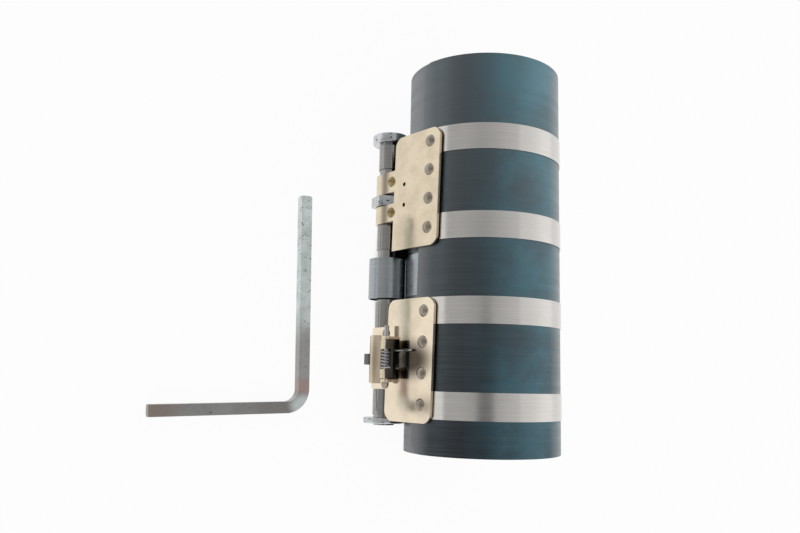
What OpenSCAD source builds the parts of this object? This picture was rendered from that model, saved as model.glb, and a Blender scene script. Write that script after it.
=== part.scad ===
// Piston ring compressor: a sleeve of rolled spring steel that four bands draw
// tight as they wind onto a ratchet spindle, and the loose square key that turns it.
// Lengths are in millimetres. The tool lies on its side, on its bands and flanges.
// The sleeve's axis is Y, from the end that sits on the engine block, and Z is up.

/* [Sleeve] */
// Length of the rolled sleeve
sleeve_len = 150; // [140:1:170]
// Radius over the outermost turn
sleeve_r = 30.5; // [29:0.5:33]
// Thickness of the spring steel sheet
sheet_t = 0.35; // [0.3:0.01:0.38]
// Air between neighbouring turns
turn_gap = 0.08; // [0.06:0.01:0.1]
// Half turns in the roll
half_turns = 6; // [4:2:6]
// Length of the straight lip, at the block end
lip_len = 7.5; // [7:0.5:9]
// Corner radius of the lip
lip_corner_r = 5; // [3:0.5:6]
// Lean of the lip's edge and the rivet line against the roll
sheet_skew = 1.7; // [1:0.1:2]
// Place along the sleeve where the rivet line crosses the root of the lip
skew_y = 60; // [55:1:65]

/* [Bands] */
// Width of a tension band
band_w = 10; // [9:0.25:10.5]
// Thickness of a tension band
band_t = 0.35; // [0.25:0.05:0.45]
// Centre of the first band along the sleeve
band_1_y = 18; // [17:0.5:19]
// Centre of the second band along the sleeve
band_2_y = 52.5; // [52:0.5:54]
// Centre of the third band along the sleeve
band_3_y = 84; // [83:0.5:86]
// Centre of the fourth band along the sleeve
band_4_y = 117.5; // [116:0.5:120]
// Length of band held under a bracket, past the root of the lip
band_root = 5.5; // [4:0.5:7]
// Half turns of band wound on the spindle
coil_half_turns = 3; // [3:2:5]

/* [Brackets] */
// Thickness of a bracket plate
plate_t = 1.1; // [0.9:0.1:1.3]
// Reach of the upper plate behind its rivets
upper_back = 5.2; // [4.8:0.1:6]
// Reach of the lower plate behind its rivets
lower_back = 5.4; // [4.8:0.1:6]
// Overhang of the lower plate below the first band
lower_margin = 1.7; // [1.5:0.1:3]
// Overhang of the upper plate below the third band
upper_margin = 2; // [1:0.5:3]
// Distance from the root of the lip to the bend
bend_u = 8; // [7:0.5:9]
// Bend of the plate towards the spindle
bend_angle = 3.5; // [2:0.5:5]
// Reach of the upper plate before its rivets
upper_reach = 20; // [19:0.1:20.4]
// Reach of the lower plate before its rivets
lower_reach = 20.3; // [20:0.1:21]
// Radius of the plates' back corners
back_corner_r = 4; // [3:0.5:5]
// Radius of the plates' rounded front corners
front_corner_r = 4; // [2:0.5:5]
// Radius of the lower plate's front corner at the block end
block_corner_r = 4.5; // [3:0.5:6]
// Gap between a tongue and its tail at the clamping screw
nip = 0.3; // [0.2:0.1:0.5]
// Length of the tail that runs back under a tongue
tail_len = 11; // [10.5:0.5:12]
// Greatest width of an upper knuckle, where the bands leave room
upper_knuckle_w = 8.6; // [8:0.1:8.8]
// Radius of the two small holes in the upper plate
sight_hole_r = 0.8; // [0.6:0.1:1.2]
// Spacing of those two holes
sight_hole_pitch = 8.2; // [7:0.2:10]
// Place of those two holes behind the shaft
sight_hole_back = 16.3; // [15.8:0.1:16.8]

/* [Rivets and screws] */
// Radius of a bracket rivet's head
rivet_head_r = 2.35; // [2.1:0.05:2.6]
// Height of a bracket rivet's head
rivet_head_h = 1.5; // [1.2:0.1:1.8]
// Radius of a bracket rivet's shank
rivet_r = 1.5; // [1.2:0.1:1.8]
// Radius of a clamping screw's head
screw_head_r = 2.1; // [1.8:0.1:2.4]
// Height of a clamping screw's head
screw_head_h = 1.4; // [1.1:0.1:1.7]
// Radius of a clamping screw's thread
screw_r = 1.25; // [1:0.05:1.4]
// Width across a clamping nut's flats
nut_af = 4.6; // [4.2:0.1:5]
// Thickness of a clamping nut
nut_t = 1.6; // [1.2:0.1:2]
// Height of a tail rivet's flat heads
flat_head_h = 0.5; // [0.3:0.1:0.7]
// Place of the clamping screws behind the shaft
clamp_back = 8.3; // [8.2:0.1:8.5]
// Place of the tail rivets behind the shaft
tail_back = 7.2; // [7.2:0.1:7.6]

/* [Spindle] */
// Radius of the winding shaft
shaft_r = 4.17; // [4:0.05:4.4]
// Distance of the shaft's axis from the outside of the roll
shaft_off = 8.05; // [8:0.05:8.6]
// Length of shaft past each flange
shaft_stub = 0.7; // [0.4:0.1:1.5]
// Radius of the flange at the block end
bottom_flange_r = 8.1; // [8:0.1:8.6]
// Radius of the flange at the key end
top_flange_r = 7.3; // [7:0.1:7.9]
// Thickness of the flange at the block end
bottom_flange_t = 2.2; // [1.8:0.2:4]
// Thickness of the flange at the key end
top_flange_t = 3.8; // [3:0.2:5]
// Edge rounding of the flanges
flange_edge = 0.5; // [0.2:0.1:0.8]
// Gap between a flange and the nearest band
flange_gap = 0.9; // [0.6:0.1:1.2]
// Width across the collar's flats
collar_af = 12.7; // [12:0.1:12.9]
// Thickness of the collar
collar_t = 4.2; // [3.5:0.1:5]
// Place of the collar, from the middle between its bands
collar_shift = -1.9; // [-2.2:0.1:0]
// Width of the square socket for the key
socket_w = 4.6; // [4.5:0.1:4.8]
// Depth of the square socket
socket_depth = 14; // [10:1:18]
// Width of the strap that loops round the spindle
strap_w = 16.2; // [15:0.2:17]
// Thickness of that strap
strap_t = 0.5; // [0.35:0.05:0.55]
// Inner radius of the strap's loop
strap_r = 7; // [6.6:0.1:7]
// Place of the strap, from the middle between its bands
strap_shift = -1.2; // [-1.5:0.1:0.5]

/* [Ratchet] */
// Number of ratchet teeth
teeth = 12; // [12:4:16]
// Radius over the teeth
ratchet_r = 7.7; // [7.4:0.1:7.7]
// Depth of a tooth
tooth_depth = 1.2; // [1.1:0.1:1.5]
// Thickness of the ratchet wheel
ratchet_t = 4.2; // [3.5:0.1:4.8]
// Place of the wheel, from the middle between its bands
lock_shift = -0.6; // [-0.8:0.1:0]
// Place of the pawl's pin behind the shaft, along the plate
pin_back = 10.7; // [10.7:0.1:11.2]
// Height of the pawl's pin over the shaft, square to the plate
pin_up = 7.8; // [7.6:0.1:8]
// Radius of the pawl's pin
pin_r = 0.9; // [0.85:0.05:0.95]
// Length of the pin from the wheel's middle towards the block end
pin_below = 9.2; // [9:0.1:11]
// Length of the pin from the wheel's middle towards the key end
pin_above = 12.9; // [9:0.1:14]
// Thickness of the pawl's sheet
pawl_t = 0.9; // [0.8:0.05:1]
// Half width of the pawl's curved web
web_half = 9.3; // [8.5:0.1:9.8]
// Width of a pawl barrel
barrel_w = 3.5; // [3:0.1:3.8]
// Half width of the space between the bracket's ears
ear_half = 7.6; // [7.4:0.1:7.8]
// Reach of the pawl's tail from the pin
tail_reach = 6.6; // [6.2:0.1:7]
// Width of the bar across the pawl's tail
tail_bar_w = 1.5; // [1.2:0.1:2]
// Wire radius of the pawl's spring
wire_r = 0.46; // [0.4:0.02:0.48]
// Turns of the pawl's spring
spring_turns = 5; // [3:1:5]

/* [Key] */
// Width of the key's square bar
key_bar = 4.3; // [4:0.1:4.4]
// Length of the key's long leg, from the corner
key_long = 82.2; // [60:1:100]
// Length of the key's short leg, from the corner
key_short = 57.5; // [40:1:70]
// Radius of the bend along the bar's middle
key_bend_r = 6.8; // [5:0.2:9]
// Chamfer at the bar's ends
key_chamfer = 0.6; // [0.3:0.1:0.9]
// Place of the key's corner across the table
key_x = -63.9; // [-80:0.1:-60]
// Place of the key's corner along the sleeve
key_y = 15.8; // [0:0.1:30]
// Turn of the key on the table
key_turn = 1.5; // [-5:0.5:5]

/* [Clearances] */
// Clearance between pieces that are fixed together
seat_gap = 0.05; // [0.03:0.01:0.08]
// Clearance round the shaft in its knuckles
run_gap = 0.08; // [0.05:0.01:0.1]
// Clearance between pieces that move past each other
move_gap = 0.25; // [0.2:0.01:0.3]

/* [Hidden] */
$fn = 96;

// Cutting tools run past the faces that they open by this much
over = 1;
// How far the arc of a corner runs past the edges that it meets
arc_past = 0.06;
band_ys = [band_1_y, band_2_y, band_3_y, band_4_y];

// The roll is a spiral of half circles about two centres, half a pitch apart.
// The innermost half circle is centred on the sleeve's axis.
turn_pitch = sheet_t + turn_gap;
centre_even = ((half_turns - 1) % 2) * turn_pitch / 2;
centre_odd = centre_even - turn_pitch / 2;
roll_top = centre_even + sleeve_r;
lip_top = lip_len - sleeve_len * tan(sheet_skew);

// The bands lie on the roll, and the plates lie on the bands
band_bottom = roll_top + seat_gap;
plate_bottom = band_bottom + band_t + seat_gap;
plate_top = plate_bottom + plate_t;

// The spindle's axis lies at its distance from the roll, where the bent plate is tangent
// to the knuckles
eye_r = shaft_r + run_gap;
eye_out = eye_r + plate_t;
axis_top = plate_top + bend_u * tan(bend_angle) - eye_out / cos(bend_angle) - centre_odd;
axis_slope = tan(bend_angle);
axis_reach = sleeve_r + shaft_off;
axis_square = 1 + axis_slope * axis_slope;
axis_mid = axis_top * axis_slope / axis_square;
axis_rest = (axis_reach * axis_reach - axis_top * axis_top) / axis_square;
shaft_u = axis_mid + sqrt(axis_mid * axis_mid + axis_rest);
shaft_v = axis_top + centre_odd - shaft_u * axis_slope;
bent_len = (shaft_u - bend_u) * cos(bend_angle) + (plate_top - shaft_v) * sin(bend_angle);

// The band winds up in a spiral of its own, on the shaft
coil_pitch = band_t + seat_gap;
coil_r = shaft_r + seat_gap + band_t + (coil_half_turns - 1) * coil_pitch / 2;

// A band leaves the roll along the tangent that it shares with its coil
lap_r = sleeve_r - turn_pitch / 2 + seat_gap;
far_r = coil_r + move_gap;
axes_gap = norm([shaft_u, shaft_v - centre_odd]);
axes_angle = atan2(shaft_v - centre_odd, shaft_u);
leave_angle = axes_angle - acos((lap_r - far_r) / axes_gap);
span_len = sqrt(axes_gap * axes_gap - (lap_r - far_r) * (lap_r - far_r));

// At rest the bands and the flange at the block end touch the table
rest_r = lap_r + band_t;
lie_angle = axes_angle + asin((rest_r - bottom_flange_r) / axes_gap);
floor_z = centre_odd * cos(lie_angle) - rest_r;

// Places along the sleeve
collar_y = (band_3_y + band_4_y) / 2 + collar_shift;
lock_y = (band_1_y + band_2_y) / 2 + lock_shift;
strap_y = (band_2_y + band_3_y) / 2 + strap_shift;
lower_edge = band_1_y - band_w / 2 - lower_margin;
lower_top = band_2_y + band_w / 2;
upper_edge = band_3_y - band_w / 2 - upper_margin;
upper_top = band_4_y + band_w / 2;
bottom_flange_y = band_1_y - band_w / 2 - flange_gap - bottom_flange_t;
top_flange_y = band_4_y + band_w / 2 + flange_gap;
shaft_start = bottom_flange_y - shaft_stub;
shaft_end = top_flange_y + top_flange_t + shaft_stub;

// Rivets stand a third of the way apart between the centres of a bracket's bands
lower_rivet_ys = [for (i = [0:3]) band_1_y + i * (band_2_y - band_1_y) / 3];
upper_rivet_ys = [for (i = [0:3]) band_3_y + i * (band_4_y - band_3_y) / 3];

// Knuckles, each as [start, width] along the sleeve
collar_low = collar_y - collar_t / 2 - move_gap;
collar_high = collar_y + collar_t / 2 + move_gap;
upper_knuckle_start = max(collar_low - upper_knuckle_w, band_3_y + band_w / 2 + move_gap);
upper_knuckle_end = min(collar_high + upper_knuckle_w, band_4_y - band_w / 2 - move_gap);
upper_knuckles = [
    [upper_knuckle_start, collar_low - upper_knuckle_start],
    [collar_high, upper_knuckle_end - collar_high]
];
lower_knuckle_start = band_1_y + band_w / 2 + move_gap;
lower_knuckle_end = band_2_y - band_w / 2 - move_gap;
lower_knuckles = [
    [lower_knuckle_start, lock_y - ear_half - lower_knuckle_start],
    [lock_y + ear_half, lower_knuckle_end - lock_y - ear_half]
];

// The pawl stands clear of the tooth tips at rest and drops between them
hook_r = ratchet_r + 0.8 * move_gap;
web_r = ratchet_r + 4 * move_gap;
barrel_r = pin_r + seat_gap + pawl_t;
barrel_near = ear_half - move_gap - barrel_w;
tongue_from = 82;
web_from = 103;
web_to = 132;
web_corner_r = 2.5;
arm_low = (web_r + pawl_t / 2) * sin(web_to) - pawl_t / 2;
pawl_top = pin_up + barrel_r;
hook_back = 0.68;
hook_front = 0.27;
tooth_phase = 97;
land_angle = 2;
ear_wall = 0.65;
ear_r = pin_r + seat_gap + ear_wall;
ear_t = 1.1;
window_back = 15.6;

// The spring wraps the pin between the barrels, one leg on the plate and one under the tail
coil_mean_r = pin_r + 3 * seat_gap + wire_r;
wire_space = 0.28;
wire_pitch = 2 * wire_r + wire_space;
leg_on_plate = 13.4;
leg_on_tail = 7.4;
leg_rise = asin((eye_out + wire_r + seat_gap - pin_up + coil_mean_r) / leg_on_plate);
leg_fall = 13;
spring_from = 270 - leg_rise;
spring_to = 90 + leg_fall + 360 * (spring_turns + 1);
wire_steps = 20;
wire_sides = 8;

// Place of a rivet across the plate, on the line that leans with the sheet
function rivet_u(along) = (skew_y - along) * tan(sheet_skew);

// Turn the drawing frame so that its x runs from the root of the lip towards the spindle,
// its y stands on the sleeve at that root and its z runs along the sleeve
module lying() {
    rotate([0, -lie_angle, 0]) rotate([90, 0, 180]) children();
}

// Put a piece on the spindle's axis, in line with the bent part of the plates
module at_shaft() {
    translate([shaft_u, shaft_v, 0]) rotate([0, 0, -bend_angle]) children();
}

// Part of a ring round the z axis, from one angle through a sweep
module ring_part(inner, wall, width, from, sweep) {
    rotate_extrude(angle = sweep, start = from) translate([inner, 0]) square([wall, width]);
}

// A spiral sheet of half rings about two centres, rolled inwards from the top,
// from its first half ring on
module roll(outer, wall, pitch, halves, width, first = 0) {
    even = ((halves - 1) % 2) * pitch / 2;
    for (k = [first:halves - 1]) {
        centre = even - (k % 2) * pitch / 2;
        translate([0, centre, 0])
            ring_part(outer - k * pitch / 2 - wall, wall, width, k % 2 == 0 ? 90 : 270, 180);
    }
}

// A flat sheet drawn in plan, with its upper face at the given height
module slab(top, thickness) {
    translate([0, top, 0]) rotate([90, 0, 0]) linear_extrude(thickness) children();
}

// A direction as a vector of length one
function unit(v) = v / norm(v);

// A polygon with its points leftwards round it and a radius at each of its corners
module rounded_plan(points, radii) {
    count = len(points);
    difference() {
        polygon(points);
        for (i = [0:count - 1]) {
            if (radii[i] > 0) {
                corner = points[i];
                ahead = unit(points[(i + 1) % count] - corner);
                behind = unit(points[(i + count - 1) % count] - corner);
                half = acos(ahead * behind) / 2;
                first = corner + radii[i] / tan(half) * ahead;
                last = corner + radii[i] / tan(half) * behind;
                middle = corner + radii[i] / sin(2 * half) * (ahead + behind);
                difference() {
                    polygon([
                        middle, first, first + over * [ahead[1], -ahead[0]],
                        corner - over * (ahead + behind),
                        last + over * [-behind[1], behind[0]], last
                    ]);
                    translate(middle) circle(radii[i] + arc_past);
                }
            }
        }
    }
}

// The points of a rectangle from one corner to the opposite one
function rectangle(low, high) = [low, [high[0], low[1]], high, [low[0], high[1]]];

// A round bar across the sheets, between two heights at a place along the sleeve
module across(x, along, low, high, radius) {
    translate([x, high, along]) rotate([90, 0, 0]) cylinder(r = radius, h = high - low);
}

// A domed head that stands on a sheet
module dome(x, along, base, radius, height) {
    ball_r = (radius * radius + height * height) / (2 * height);
    intersection() {
        translate([x, base + height - ball_r, along]) sphere(ball_r);
        across(x, along, base, base + height + over, radius + over);
    }
}

// What a rounded corner takes off a square one at the origin
module corner_cut(radius) {
    difference() {
        translate([-over, -over]) square(radius + over);
        translate([radius, radius]) circle(radius);
    }
}

// The straight lip in plan, with its edge askew and its corners rounded
module lip_plan() {
    difference() {
        polygon([[0, 0], [lip_len, 0], [lip_top, sleeve_len], [0, sleeve_len]]);
        translate([lip_len, 0]) rotate(90) corner_cut(lip_corner_r);
        translate([lip_top, sleeve_len]) rotate(180) corner_cut(min(lip_corner_r, lip_top));
    }
}

// The rolled sleeve: the riveted outer half turn with its lip, and the turns inside it
module sleeve() {
    color("slategray") lying() {
        difference() {
            union() {
                translate([0, centre_even, 0])
                    ring_part(sleeve_r - sheet_t, sheet_t, sleeve_len, 90, 180);
                slab(roll_top, sheet_t) lip_plan();
            }
            for (along = concat(lower_rivet_ys, upper_rivet_ys))
                across(
                    rivet_u(along), along,
                    roll_top - sheet_t - over, roll_top + over, rivet_r + seat_gap
                );
        }
        roll(sleeve_r, sheet_t, turn_pitch, half_turns, sleeve_len, 1);
    }
}

// One tension band: its root under the bracket, its lap round the roll and its free span,
// which is a hair thinner where it starts inside the lap
module band(along) {
    span_inset = band_t / 16;
    color("silver") lying() translate([0, 0, along - band_w / 2]) difference() {
        union() {
            translate([0, band_bottom, 0]) cube([band_root, band_t, band_w]);
            translate([0, centre_even, 0])
                ring_part(sleeve_r + seat_gap, band_t, band_w, 90, 180);
            translate([0, centre_odd, 0]) {
                ring_part(lap_r, band_t, band_w, 270, 90 + leave_angle);
                rotate([0, 0, leave_angle]) translate([lap_r + span_inset, -band_t, span_inset])
                    cube([band_t - 2 * span_inset, span_len + band_t, band_w - 2 * span_inset]);
            }
        }
        across(rivet_u(along), band_w / 2, band_bottom - over, plate_top, rivet_r + seat_gap);
    }
}

// The wound end of a band, which turns with the shaft
module band_coil(along) {
    color("gainsboro") lying() at_shaft() translate([0, 0, along - band_w / 2])
        roll(coil_r, band_t, coil_pitch, coil_half_turns, band_w);
}

// The plate of a bracket: flat on its bands, then bent down towards the spindle.
// Its profile is drawn from the spindle, along the bent part, and cut to a plan whose
// front and back lean with the rivets.
module bracket_plate(start, end, behind, reach, low_corner, high_corner) {
    front = (shaft_u - reach) / cos(bend_angle);
    back = bent_len + (behind + bend_u) * cos(bend_angle);
    along = [cos(bend_angle), sin(bend_angle)];
    square_to = [-sin(bend_angle), cos(bend_angle)];
    bend_top = [-bent_len, eye_out];
    back_top = bend_top - (behind + bend_u + 4 * over) * along;
    low_u = rivet_u(start);
    high_u = rivet_u(end);
    profile = [
        bend_top, back_top, back_top - plate_t * square_to,
        bend_top + plate_t * [tan(bend_angle / 2), -1],
        [0, eye_r], [0, eye_out]
    ];
    at_shaft() intersection() {
        translate([0, 0, start - over]) linear_extrude(end - start + 2 * over) polygon(profile);
        slab(eye_out + over, plate_t + 4 * over)
            rounded_plan(
                [
                    [low_u - back, start], [low_u - front, start],
                    [high_u - front, end], [high_u - back, end]
                ],
                [back_corner_r, low_corner, high_corner, back_corner_r]
            );
    }
}

// A tongue of the plate curled round the shaft, with its tail run back underneath
module knuckle(start, width, reach) {
    curl_from = 125;
    curl_sweep = 325;
    front = (shaft_u - reach) / cos(bend_angle);
    tail_top = eye_r - nip;
    tail_front = sqrt(eye_out * eye_out - tail_top * tail_top) - nip;
    at_shaft() translate([0, 0, start]) {
        translate([-front - 3 * over, eye_r, 0]) cube([front + 3 * over, plate_t, width]);
        difference() {
            union() {
                ring_part(eye_r, plate_t, width, curl_from, curl_sweep);
                translate([-tail_len, tail_top - plate_t, 0])
                    cube([tail_len - tail_front, plate_t, width]);
            }
            translate([-tail_len - over, tail_top, -over])
                cube([tail_len, nip + over, width + 2 * over]);
        }
    }
}

// Holes through a bracket for the rivets that hold it to the sleeve
module rivet_holes(places) {
    for (along = places)
        across(rivet_u(along), along, band_bottom, plate_top + over, rivet_r + seat_gap);
}

// Holes through the tongues and tails of a pair of knuckles
module clamp_holes(knuckles, back, radius) {
    at_shaft() for (k = knuckles)
        across(-back, k[0] + k[1] / 2, 0, eye_out + over, radius + seat_gap);
}

// The upper bracket, with two small holes beside the collar
module upper_bracket() {
    color("antiquewhite") lying() difference() {
        union() {
            bracket_plate(upper_edge, upper_top, upper_back, upper_reach, 0, front_corner_r);
            for (k = upper_knuckles)
                knuckle(k[0], k[1], upper_reach);
        }
        rivet_holes(upper_rivet_ys);
        clamp_holes(upper_knuckles, clamp_back, screw_r);
        at_shaft() for (side = [-1, 1])
            across(
                -sight_hole_back, collar_y + side * sight_hole_pitch / 2,
                eye_r - over, eye_out + over, sight_hole_r
            );
    }
}

// An ear that stands up from the lower plate to hold the pawl's pin
module pin_ear(start) {
    at_shaft() translate([-pin_back, 0, start]) {
        translate([0, pin_up, 0]) cylinder(r = ear_r, h = ear_t);
        translate([-ear_r, eye_r, 0]) cube([2 * ear_r, pin_up - eye_r, ear_t]);
    }
}

// The lower bracket, open in front for the ratchet and its pawl
module lower_bracket() {
    color("antiquewhite") lying() difference() {
        union() {
            difference() {
                bracket_plate(
                    lower_edge, lower_top, lower_back, lower_reach, block_corner_r, front_corner_r
                );
                at_shaft() translate([-window_back, eye_r - over, lock_y - ear_half])
                    cube([window_back, plate_t + 2 * over, 2 * ear_half]);
            }
            for (k = lower_knuckles)
                knuckle(k[0], k[1], lower_reach);
            pin_ear(lock_y - ear_half - ear_t);
            pin_ear(lock_y + ear_half);
        }
        rivet_holes(lower_rivet_ys);
        clamp_holes(lower_knuckles, tail_back, screw_r);
        at_shaft() translate([-pin_back, pin_up, lower_edge])
            cylinder(r = pin_r + seat_gap, h = lower_top - lower_edge);
    }
}

// Domed rivets through plate, band and sleeve
module bracket_rivets(places) {
    color("wheat") lying() for (along = places) {
        across(rivet_u(along), along, roll_top - sheet_t, plate_top, rivet_r);
        dome(rivet_u(along), along, plate_top, rivet_head_r, rivet_head_h);
    }
}

// Slotted screws that clamp the upper knuckles
module clamp_screws() {
    slot_w = screw_head_r / 4;
    nut_low = eye_r - nip - plate_t - nut_t;
    color("goldenrod") lying() at_shaft() for (k = upper_knuckles) {
        along = k[0] + k[1] / 2;
        across(-clamp_back, along, nut_low - seat_gap, eye_out, screw_r);
        difference() {
            dome(-clamp_back, along, eye_out, screw_head_r, screw_head_h);
            translate([-clamp_back - screw_head_r, eye_out + screw_head_h / 2, along - slot_w / 2])
                cube([2 * screw_head_r, screw_head_h, slot_w]);
        }
    }
}

// Hexagonal nuts under the upper knuckles' tails
module clamp_nuts() {
    nut_top = eye_r - nip - plate_t;
    color("goldenrod") lying() at_shaft() for (k = upper_knuckles) {
        translate([-clamp_back, nut_top, k[0] + k[1] / 2]) rotate([90, 0, 0]) difference() {
            cylinder(r = nut_af / sqrt(3), h = nut_t, $fn = 6);
            translate([0, 0, -over]) cylinder(r = screw_r + seat_gap, h = nut_t + 2 * over);
        }
    }
}

// Flat rivets through the lower knuckles' tails
module tail_rivets() {
    tail_bottom = eye_r - nip - plate_t;
    color("wheat") lying() at_shaft() for (k = lower_knuckles) {
        along = k[0] + k[1] / 2;
        across(-tail_back, along, tail_bottom, eye_out, screw_r);
        across(-tail_back, along, eye_out, eye_out + flat_head_h, screw_r + flat_head_h);
        across(-tail_back, along, tail_bottom - flat_head_h, tail_bottom, screw_r + flat_head_h);
    }
}

// The strap that holds the middle of the spindle: a foot welded on the roll and tucked
// under the lip, and a loop round the spindle's bush
module spindle_strap() {
    foot_lap = 6;
    foot_from = axes_angle - foot_lap;
    foot_to = asin((roll_top - sheet_t - seat_gap - centre_odd) / (lap_r + strap_t));
    weld_w = 4 * strap_t;
    weld_from = lap_r + strap_t / 2;
    weld_to = axes_gap - strap_r - strap_t / 2;
    color("dimgray") lying() translate([0, 0, strap_y - strap_w / 2]) {
        translate([0, centre_odd, 0]) {
            ring_part(lap_r, strap_t, strap_w, foot_from, foot_to - foot_from);
            rotate([0, 0, axes_angle]) translate([weld_from, -weld_w / 2, 0])
                cube([weld_to - weld_from, weld_w, strap_w]);
        }
        translate([shaft_u, shaft_v, 0]) difference() {
            cylinder(r = strap_r + strap_t, h = strap_w);
            translate([0, 0, -over]) cylinder(r = strap_r, h = strap_w + 2 * over);
        }
    }
}

// The winding shaft, with a square socket in its key end
module winding_shaft() {
    color("lightgray") lying() translate([shaft_u, shaft_v, 0]) difference() {
        translate([0, 0, shaft_start]) cylinder(r = shaft_r, h = shaft_end - shaft_start);
        translate([0, 0, shaft_end - socket_depth]) rotate([0, 0, lie_angle])
            translate([-socket_w / 2, -socket_w / 2, 0])
                cube([socket_w, socket_w, socket_depth + over]);
    }
}

// A disc on the shaft with its outer edges rounded off
module flange(start, thickness, radius) {
    inner = shaft_r + seat_gap;
    color("lightsteelblue") lying() translate([shaft_u, shaft_v, start]) rotate_extrude() {
        translate([inner, 0]) square([radius - flange_edge - inner, thickness]);
        translate([inner, flange_edge]) square([radius - inner, thickness - 2 * flange_edge]);
        for (edge = [flange_edge, thickness - flange_edge])
            translate([radius - flange_edge, edge]) circle(flange_edge);
    }
}

// The hexagonal collar that keeps the spindle in place between the upper knuckles
module hex_collar() {
    color("lightsteelblue") lying() at_shaft() translate([0, 0, collar_y - collar_t / 2]) difference() {
        rotate([0, 0, lie_angle + 30]) cylinder(r = collar_af / sqrt(3), h = collar_t, $fn = 6);
        translate([0, 0, -over]) cylinder(r = shaft_r + seat_gap, h = collar_t + 2 * over);
    }
}

// The ratchet wheel, with hooked saw teeth that hold against the bands' pull
module ratchet_wheel() {
    pitch = 360 / teeth;
    root_r = ratchet_r - tooth_depth;
    outline = [
        for (i = [0:teeth - 1])
            let (a = tooth_phase + i * pitch)
                each [
                    root_r * [cos(a), sin(a)],
                    ratchet_r * [cos(a), sin(a)],
                    ratchet_r * [cos(a + land_angle), sin(a + land_angle)]
                ]
    ];
    color("slategray") lying() at_shaft() translate([0, 0, lock_y - ratchet_t / 2]) difference() {
        linear_extrude(ratchet_t) polygon(outline);
        translate([0, 0, -over]) cylinder(r = shaft_r + seat_gap, h = ratchet_t + 2 * over);
    }
}

// The bush that fills the strap's loop
module spindle_bush() {
    width = strap_w - 4 * move_gap;
    color("gray") lying() translate([shaft_u, shaft_v, strap_y - width / 2]) difference() {
        cylinder(r = strap_r - move_gap, h = width);
        translate([0, 0, -over]) cylinder(r = shaft_r + seat_gap, h = width + 2 * over);
    }
}

// The pawl: a curved web whose tongue hooks over the wheel and lifts by its end, two barrels
// on the pin and a tail for the spring. The tongue is a hair thinner where it starts in the web.
module pawl_lever() {
    arms = barrel_near + barrel_w;
    tongue_lap = 8;
    tongue_inset = pawl_t / 16;
    web_front = web_r * cos(web_from) + nip;
    color("antiquewhite") lying() difference() {
        at_shaft() translate([0, 0, lock_y]) {
            intersection() {
                translate([0, 0, -web_half])
                    ring_part(web_r, pawl_t, 2 * web_half, web_from, web_to - web_from);
                slab(2 * web_r, 2 * web_r)
                    rounded_plan(
                        rectangle([-web_r, -web_half - over], [web_front, web_half + over]),
                        [0, web_corner_r + over, web_corner_r + over, 0]
                    );
            }
            translate([0, 0, -ratchet_t / 2])
                ring_part(
                    web_r + tongue_inset, pawl_t - 2 * tongue_inset, ratchet_t,
                    tongue_from, web_from + tongue_lap - tongue_from
                );
            translate([-hook_back, hook_r, -ratchet_t / 2])
                cube([hook_back + hook_front, web_r - hook_r + pawl_t / 2, ratchet_t]);
            for (low = [-arms, barrel_near]) {
                translate([-pin_back, arm_low, low])
                    cube([pin_back + (web_r + pawl_t / 2) * cos(web_to), pawl_t, barrel_w]);
                translate([-pin_back, pin_up, low]) cylinder(r = barrel_r, h = barrel_w);
                translate([-pin_back - tail_reach, pawl_top - pawl_t, low])
                    cube([tail_reach, pawl_t, barrel_w]);
            }
            translate([-pin_back - tail_reach, pawl_top - pawl_t, -arms])
                cube([tail_bar_w, pawl_t, 2 * arms]);
        }
        at_shaft() translate([-pin_back, pin_up, lock_y - ear_half])
            cylinder(r = pin_r + run_gap, h = 2 * ear_half);
    }
}

// The pin that the pawl swings on
module pawl_pin() {
    color("silver") lying() at_shaft() translate([-pin_back, pin_up, lock_y - pin_below])
        cylinder(r = pin_r, h = pin_below + pin_above);
}

// A point of the spring's wire, by its angle round the pin
function wire_point(a) = [
    -pin_back + coil_mean_r * cos(a),
    pin_up + coil_mean_r * sin(a),
    lock_y - wire_pitch * (a - (spring_from + spring_to) / 2) / 360
];

// A point on a leg that leaves the coil along its tangent at an angle
function leg_point(a, length) = wire_point(a) + length * [-sin(a), cos(a), 0];

// The torsion spring: a round wire swept along a leg, its turns and the other leg
module pawl_spring() {
    count = ceil(wire_steps * (spring_to - spring_from) / 360);
    path = concat(
        [leg_point(spring_from, -leg_on_plate)],
        [for (i = [0:count]) wire_point(spring_from + i * (spring_to - spring_from) / count)],
        [leg_point(spring_to, leg_on_tail)]
    );
    last = len(path) - 1;
    rings = [
        for (i = [0:last])
            let (
                ahead = path[min(i + 1, last)] - path[max(i - 1, 0)],
                out = cross(ahead, [0, 0, 1]) / norm(cross(ahead, [0, 0, 1])),
                side = cross(out, ahead) / norm(ahead)
            )
                [
                    for (j = [0:wire_sides - 1])
                        let (b = 360 * j / wire_sides)
                            path[i] + wire_r * (cos(b) * out + sin(b) * side)
                ]
    ];
    walls = [
        for (i = [0:last - 1], j = [0:wire_sides - 1])
            let (k = (j + 1) % wire_sides)
                [
                    i * wire_sides + j, (i + 1) * wire_sides + j,
                    (i + 1) * wire_sides + k, i * wire_sides + k
                ]
    ];
    first_cap = [for (j = [0:wire_sides - 1]) j];
    last_cap = [for (j = [wire_sides - 1:-1:0]) last * wire_sides + j];
    color("silver") lying() at_shaft()
        polyhedron(points = [for (r = rings) each r], faces = concat(walls, [first_cap, last_cap]));
}

// One straight leg of the key along x, with a chamfered end
module key_leg(from, to) {
    end_r = key_bar / sqrt(2) - key_chamfer;
    translate([from, -key_bar / 2, 0]) cube([to - from - key_chamfer, key_bar, key_bar]);
    intersection() {
        translate([to - key_bar, -key_bar / 2, 0]) cube([key_bar, key_bar, key_bar]);
        translate([to - key_bar, 0, key_bar / 2]) rotate([0, 90, 0])
            cylinder(r1 = end_r + key_bar, r2 = end_r, h = key_bar);
    }
}

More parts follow.
